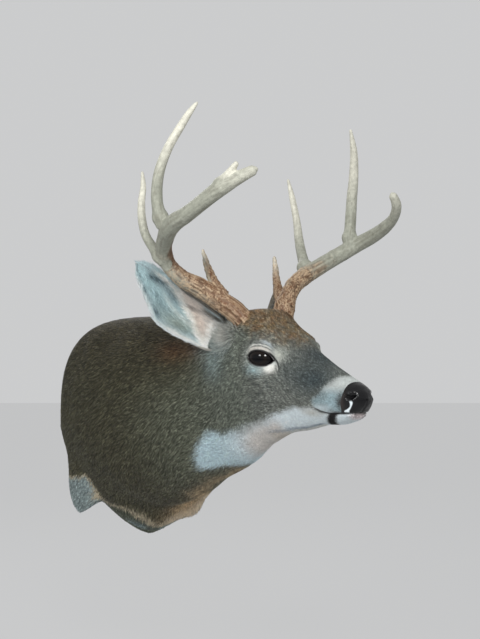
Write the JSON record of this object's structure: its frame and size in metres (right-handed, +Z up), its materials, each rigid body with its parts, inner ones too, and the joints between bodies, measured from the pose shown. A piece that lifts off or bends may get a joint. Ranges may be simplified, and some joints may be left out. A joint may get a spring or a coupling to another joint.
{
  "type": "deer shoulder mount",
  "caption": "Life-size taxidermy shoulder mount of a white-tailed buck, head turned left with branched antlers, hung on a wall by a plate in its backboard.",
  "frame": {"origin": "centre of the backboard's flat rear face, where it meets the wall", "axes": "+Y into the wall, the mount stands out towards -Y, +Z up, +X towards the animal's left"},
  "size_m": [0.625, 0.6324, 0.7544],
  "materials": {
    "brown_coat": "short olive-brown winter hair",
    "grey_coat": "very short grey-brown hair",
    "white_coat": "soft white hair",
    "nose_skin": "moist pebbled black skin",
    "eye_glass": "polished, dark brown",
    "antler": "hard bone, rough and stained at the bases, smooth at the tips",
    "board_wood": "bare plywood",
    "plate_steel": "zinc plated"
  },
  "bodies": {
    "root": {"trunk": "brown_coat", "neck": "brown_coat", "head": "grey_coat", "lower_jaw": "white_coat", "nose": "nose_skin", "foreleg_right": "white_coat", "foreleg_left": "white_coat", "ear_right": "grey_coat", "ear_left": "grey_coat", "eye_right": "eye_glass", "eye_left": "eye_glass", "antler_right_base": "antler", "antler_right_middle": "antler", "antler_right_tip": "antler", "antler_right_brow_tine": "antler", "antler_right_second_tine": "antler", "antler_right_third_tine": "antler", "antler_left_base": "antler", "antler_left_middle": "antler", "antler_left_tip": "antler", "antler_left_brow_tine": "antler", "antler_left_second_tine": "antler", "antler_left_third_tine": "antler", "backboard": "board_wood", "hanger": "plate_steel"}
  },
  "joints": []
}
